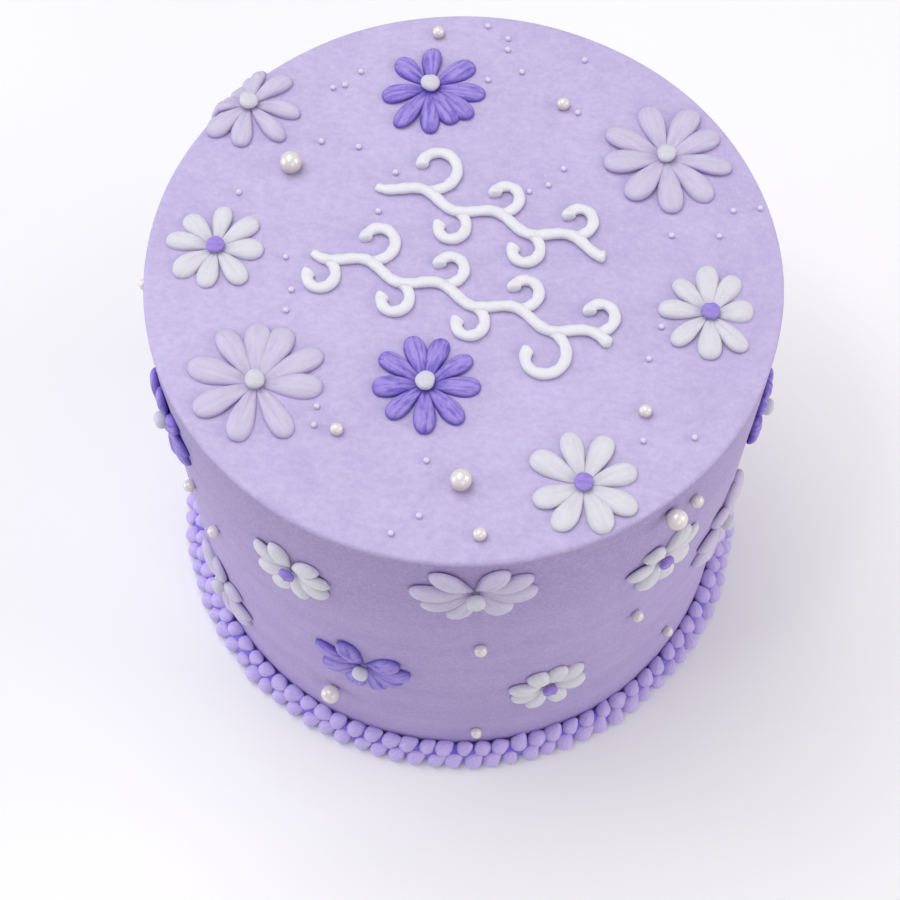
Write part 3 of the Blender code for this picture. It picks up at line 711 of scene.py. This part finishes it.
def pearlSurface(look):
    # Balls, a few per cent out of round, each sunk a little into the icing.
    places = [onTop(*spot) for spot in look["top"]] + [onWall(*spot) for spot in look["wall"]]
    lean = np.linspace(0, np.pi, look["rings"])[:, None]
    turn = np.linspace(0, 2 * np.pi, look["sides"], endpoint=False)[None, :]
    grids = []
    for place in places:
        p = luck.uniform(0, 6)
        radius = look["radius"] * luck.uniform(0.95, 1.04)
        ball = radius * (1 + 0.02 * np.sin(2 * turn + p) * np.sin(lean))
        across = ball * np.sin(lean)
        up = ball * np.cos(lean) + look["lift"] * look["radius"]
        grids.append(place(np.stack([across * np.cos(turn), across * np.sin(turn), up], -1)))
    grid = np.stack(grids)
    # the crown field places the painted reflection and shade underneath
    low, high = grid[..., 2].min((1, 2), keepdims=True), grid[..., 2].max((1, 2), keepdims=True)
    return shell(grid, {"crown": (grid[..., 2] - low) / (high - low)})


pearlFinish = {
    # the second colour of each is painted under a pearl: a warm reflection and shade on the coated ones,
    # shade on the white ones
    "large": sugarPearl("pearl_coated_sugar", "#E6E0DE", "#B39C9B", 1.9, 0.2, 1.0),
    "small": sugarPearl("white_sugar_ball", "#DDD7EC", "#BFB3DA", 1.5, 0.4, 0.2),
}
for size, look in pearls.items():
    finish = pearlFinish["small" if size == "small" else "large"]
    stood = [f"pearl_large_{n}" for n in range(1, 6)] if size == "large" else []
    addPiece(f"pearls_{size}", pearlSurface(look), finish, stood)
print("pearls done")


# The border

border = {
    "beads": 93,          # in each of the two rows
    "radius": 2.85,       # of a bead, along its row
    "thin": 0.93,         # its other two radii, as a share of that
    "rings": 9,
    "sides": 12,
    # how far out from the foot and up the middle of each row is, the way its tails point as
    # (out, onward, up), how long the tails are, and how much they narrow
    "upper": {"out": 2.1, "up": 5.0, "shift": 0.0,
              "tail": (-0.4, 0.9, 0.3), "long": 0.24, "pinch": 0.26},
    "lower": {"out": 4.8, "up": 2.5, "shift": 0.5,
              "tail": (-0.5, 0.8, 0.45), "long": 0.32, "pinch": 0.32},
    # how far beads stray from their places: along the row as a share of its pitch, out and
    # up in mm, and the spread of their tails' ways
    "strayOn": 0.06, "strayOut": 0.25, "strayUp": 0.2, "strayTail": 0.28,
    "sizes": (0.89, 1.11),
    "draws": (0.5, 1.4),  # share of a tail's length
    "lumps": 0.03,
    "core": {"out": 2.3, "up": 2.6, "radius": 2.6, "sides": 18, "turns": 200},
    "ground": 0.05,       # nothing goes lower
}


def beads(row):
    # Each bead is a ball turned about its tail: the side towards the tail is drawn out and
    # narrowed. Beads flatten where they meet the ground.
    count = border["beads"]

    def stray(most):
        return luck.uniform(-most, most, count)

    number = np.arange(count) + row["shift"] + stray(border["strayOn"])
    angle = 2 * np.pi * number / count
    nothing = np.zeros(count)
    outward = np.stack([np.cos(angle), np.sin(angle), nothing], -1)
    onward = np.stack([-np.sin(angle), np.cos(angle), nothing], -1)
    upward = np.stack([nothing, nothing, nothing + 1], -1)
    wayOut, wayOn, wayUp = (way + luck.normal(0, border["strayTail"], count) for way in row["tail"])
    tail = outward * wayOut[:, None] + onward * wayOn[:, None] + upward * wayUp[:, None]
    tail /= np.linalg.norm(tail, axis=1, keepdims=True)
    side = np.cross(tail, upward)
    side /= np.linalg.norm(side, axis=1, keepdims=True)
    over = np.cross(tail, side)
    middle = outward * (cake["foot"] + row["out"] + stray(border["strayOut"]))[:, None]
    middle = middle + upward * (row["up"] + stray(border["strayUp"]))[:, None]
    size = (border["radius"] * luck.uniform(*border["sizes"], count))[:, None, None, None]
    lean = np.linspace(0, np.pi, border["rings"])[None, :, None, None]
    turn = np.linspace(0, 2 * np.pi, border["sides"], endpoint=False)[None, None, :, None]
    ahead = np.maximum(np.cos(lean), 0)
    draw = row["long"] * luck.uniform(*border["draws"], count)[:, None, None, None]
    length = np.cos(lean) * (1 + draw * ahead ** 2)
    width = border["thin"] * np.sin(lean) * (1 - row["pinch"] * ahead)
    phase = luck.uniform(0, 6, count)[:, None, None, None]
    width = width * (1 + border["lumps"] * np.sin(3 * turn + phase))
    shape = length * tail[:, None, None] + width * (
        np.cos(turn) * side[:, None, None] + np.sin(turn) * over[:, None, None])
    grid = middle[:, None, None] + size * shape
    grid[..., 2] = np.maximum(grid[..., 2], border["ground"])
    # painted light and shade: a bead is lighter on its side that faces out and up, and deeper towards
    # the wall and the ground
    away = (outward + upward * row["up"] / border["upper"]["up"])[:, None, None]
    away = away / np.linalg.norm(away, axis=-1, keepdims=True)
    crown = np.clip(0.55 + 0.6 * (shape * away).sum(-1), 0, 1)
    whole = np.ones(crown.shape)
    flow = np.stack([length[..., 0] * whole, turn[..., 0] * whole], -1) * 0.003
    return shell(grid, {"crown": crown}, flow)


def borderCore():
    # The buttercream behind the beads: a round section carried round the cake's foot.
    # Its crown field is 0, so it takes the painted shade colour in full, dark in the gaps between the
    # beads.
    core = border["core"]
    sides, turns = core["sides"], core["turns"]
    around = np.linspace(0, 2 * np.pi, turns, endpoint=False)[:, None]
    section = -np.linspace(0, 2 * np.pi, sides, endpoint=False)[None, :]
    reach = cake["foot"] + core["out"] + core["radius"] * np.cos(section)
    z = np.maximum(core["up"] + core["radius"] * np.sin(section), border["ground"])
    z = z * np.ones_like(around)
    points = np.stack([reach * np.cos(around), reach * np.sin(around), z], -1).reshape(-1, 3)
    here = np.arange(turns)[:, None] * sides
    after = (here + sides) % (turns * sides)
    side = np.arange(sides)[None, :]
    beside = (side + 1) % sides
    quads = np.stack([here + side, here + beside, after + beside, after + side], -1).reshape(-1, 4)
    return {
        "points": points, "quads": quads, "tris": np.zeros((0, 3), int),
        "fields": {"crown": np.zeros(len(points))}, "flow": np.zeros((len(points), 2)),
    }


# the deep colour is painted shade, on the beads' inner sides and on the core in the gaps between them
beadFinish = pipedButtercream("violet_bead_buttercream", "#CBBDF0", ("#7258E0", 0.9), ("#B7A5E6", 0.5))
addPiece("beads", join([beads(border["upper"]), beads(border["lower"]), borderCore()]),
         beadFinish, ["bead_border"])
print("border done")


# Scrollwork

scroll = {
    "slope": -20.0,       # degrees, down to the right
    "wave": 20.0,         # length of the stem's wave
    "swing": 1.7,         # and its height
    "curl": (5.4, 2.4),   # a curl's radius where it starts and where it ends
    "curlTurn": 300.0,    # degrees
    "halfWidth": 1.45,
    "thick": 2.3,
    "sunk": 0.15,
    "sides": 14,          # points round a line
    "stemPoints": 110,    # and along the stem and along a curl
    "curlPoints": 48,
    "rounded": 1.1,       # length over which an end closes
    "swell": 5,           # length over which a line reaches its full width
    "knob": (0.5, 3.2),   # where a knob is full and where it is gone, from the line's end
    # each line: distance across the slope, ends, then its curls up and its curls down, each
    # as the place where it leaves the stem and its size
    "lines": {
        "scroll_upper": (16.8, (-30, 33), ((-18, 1.45), (2, 1), (22, 1)), ((-8, 1), (12, 1))),
        "scroll_lower": (-8.2, (-38, 42), ((-24, 1.2), (-4, 1), (16, 1), (36, 1)),
                         ((-34, 1), (-14, 1), (6, 1), (26, 1.45))),
    },
}


def pipedLine(along, across, thin, knob):
    # A flattened round section carried along a path on the top. It starts thin, ends in a
    # small knob, and both ends close in a rounded way.
    count, sides = len(along), scroll["sides"]
    slope = math.radians(scroll["slope"])
    path = np.stack([along * math.cos(slope) - across * math.sin(slope),
                     along * math.sin(slope) + across * math.cos(slope)], -1)
    forward = np.gradient(path, axis=0)
    step = np.linalg.norm(forward, axis=1, keepdims=True)
    forward = forward / step
    gone = np.concatenate([[0], np.cumsum(np.linalg.norm(np.diff(path, axis=0), axis=1))])
    left = gone[-1] - gone
    toEnd = np.minimum(gone, left) / scroll["rounded"]
    close = np.sqrt(np.clip(1 - (1 - toEnd).clip(0) ** 2, 0, 1))
    body = thin + (1 - thin) * smooth(0, scroll["swell"], gone)
    body = body + knob * (1 - smooth(*scroll["knob"], left))
    body = body * (1 + 0.035 * np.sin(gone / 0.55) + 0.03 * np.sin(gone / 1.3 + 1)) * close
    turn = np.linspace(0, 2 * np.pi, sides, endpoint=False)[None, :]
    sideways = np.stack([-forward[:, 1], forward[:, 0]], -1)[:, None, :]
    half = scroll["halfWidth"] * body[:, None]
    flat = path[:, None, :] - sideways * (half * np.cos(turn))[..., None]
    up = 0.5 * scroll["thick"] * (1 + eased(np.sin(turn), 0.85) * body[:, None])
    up = up - 0.5 * scroll["thick"] * (1 - body[:, None]) - scroll["sunk"]
    grid = np.concatenate([flat, (cake["height"] + up)[..., None]], -1)
    # painted shade: a line's colour deepens down its sides and underneath
    crown = np.clip(0.4 + 0.6 * np.sin(turn), 0, 1) * np.ones((count, 1))
    flow = np.stack([gone[:, None] * np.ones((1, sides)), turn * half], -1) * 0.001
    return shell(grid[None], {"crown": crown[None]}, flow[None])


def scrollSurface(level, ends, ups, downs):
    # The stem is a slow cosine. A curl leaves it level and winds inward, its radius
    # shrinking evenly from turn to turn.
    along = np.linspace(ends[0], ends[1], scroll["stemPoints"])

    def stem(x):
        return level + scroll["swing"] * np.cos(2 * np.pi * (x - ups[0][0]) / scroll["wave"])

    lines = [pipedLine(along, stem(along), thin=0.75, knob=0.12)]
    share = np.linspace(0, 1, scroll["curlPoints"])
    first, last = scroll["curl"]
    radius = first * (last / first) ** share
    heading = math.radians(scroll["curlTurn"]) * share
    run = radius * math.radians(scroll["curlTurn"]) * share[1]
    for side, starts in ((1, ups), (-1, downs)):
        for start, size in starts:
            curlAlong = start + size * (np.cumsum(run * np.cos(heading)) - run[0])
            curlAcross = stem(start) + side * size * np.cumsum(run * np.sin(heading))
            lines.append(pipedLine(curlAlong, curlAcross, thin=0.8, knob=0.22))
    return join(lines)


# the second colour is painted shade down a line's sides
scrollFinish = pipedButtercream("white_line_buttercream", "#E6E5EB", ("#CCC6DA", 0.45), ("#DCDAE3", 0.5))
for name, line in scroll["lines"].items():
    addPiece(f"piped_{name}", scrollSurface(*line), scrollFinish, [name])
print("scrollwork done")


# Camera, light and floor

view = {
    "place": (-2.912, -253.658, 555.456),  # millimetres
    "down": 63.754,       # degrees below level
    "yaw": -0.0616,
    "roll": 0.2566,
    "lens": 75.966,
}


def addCamera():
    # It looks along the line that down and yaw give, and is then rolled about that line.
    down, yaw, roll = (math.radians(view[key]) for key in ("down", "yaw", "roll"))
    forward = np.array([
        math.sin(yaw) * math.cos(down), math.cos(yaw) * math.cos(down), -math.sin(down),
    ])
    level = np.array([math.cos(yaw), -math.sin(yaw), 0])
    above = np.cross(level, forward)
    right = math.cos(roll) * level + math.sin(roll) * above
    up = math.cos(roll) * above - math.sin(roll) * level
    data = bpy.data.cameras.new("camera")
    data.lens = view["lens"]
    data.sensor_width = 36
    camera = bpy.data.objects.new("camera", data)
    matrix = np.eye(4)
    matrix[:3, 0], matrix[:3, 1], matrix[:3, 2] = right, up, -forward
    matrix[:3, 3] = np.array(view["place"]) * 0.001
    camera.matrix_world = Matrix(matrix)
    data.clip_start = 0.01
    scene.collection.objects.link(camera)
    scene.camera = camera


studio = {
    "aim": (0, 0, 0.08),  # metres
    "world": "#F2F3F8",
    "worldStrength": 0.41,
    "floor": "#F8F8F8",
    "floorReach": 9.0,
    "floorLevel": -0.0003,
}

lights = {
    # place in metres, the side of the square, watts, colour
    "overhead": ((-0.4, 0.35, 1.45), 1.2, 11.8, "#FFFFFF"),
    "left": ((-1.45, 0.0, 0.4), 1.0, 7.4, "#F8F8FF"),
    "right": ((1.4, -0.1, 0.8), 1.0, 7.6, "#FFF8F2"),
    "front": ((0.7, -1.3, 0.85), 1.0, 4.0, "#FFFAF8"),
    "spark": ((-0.35, -0.25, 1.2), 0.12, 0.8, "#FFFFFF"),
}


def addLights():
    for name, (place, side, watts, colour) in lights.items():
        data = bpy.data.lights.new(name, "AREA")
        data.size = side
        data.energy = watts
        data.color = linear(colour)[:3]
        lamp = bpy.data.objects.new(name, data)
        aim = np.array(studio["aim"]) - np.array(place)
        aim = aim / np.linalg.norm(aim)
        level = np.cross(aim, [0, 0, 1.0])
        level = level / np.linalg.norm(level)
        matrix = np.eye(4)
        matrix[:3, 0], matrix[:3, 1], matrix[:3, 2] = level, np.cross(level, aim), -aim
        matrix[:3, 3] = place
        lamp.matrix_world = Matrix(matrix)
        scene.collection.objects.link(lamp)
    world = bpy.data.worlds.new("studio")
    world.use_nodes = True
    background = world.node_tree.nodes["Background"]
    background.inputs["Color"].default_value = linear(studio["world"])
    background.inputs["Strength"].default_value = studio["worldStrength"]
    scene.world = world
    scene.view_settings.view_transform = "Standard"


def addFloor():
    # A matt pale square, a little under the cake's foot.
    mesh = bpy.data.meshes.new("floor")
    reach = studio["floorReach"]
    ways = ((-1, -1), (1, -1), (1, 1), (-1, 1))
    corners = [(x * reach, y * reach, studio["floorLevel"]) for x, y in ways]
    mesh.from_pydata(corners, [], [(0, 1, 2, 3)])
    material = newMaterial("pale_floor")
    finishShader(material, {"Base Color": linear(studio["floor"]), "Roughness": 0.7})
    mesh.materials.append(material)
    floor = bpy.data.objects.new("floor", mesh)
    scene.collection.objects.link(floor)


addCamera()
addLights()
addFloor()
print("camera, light and floor done")

bpy.context.view_layer.update()
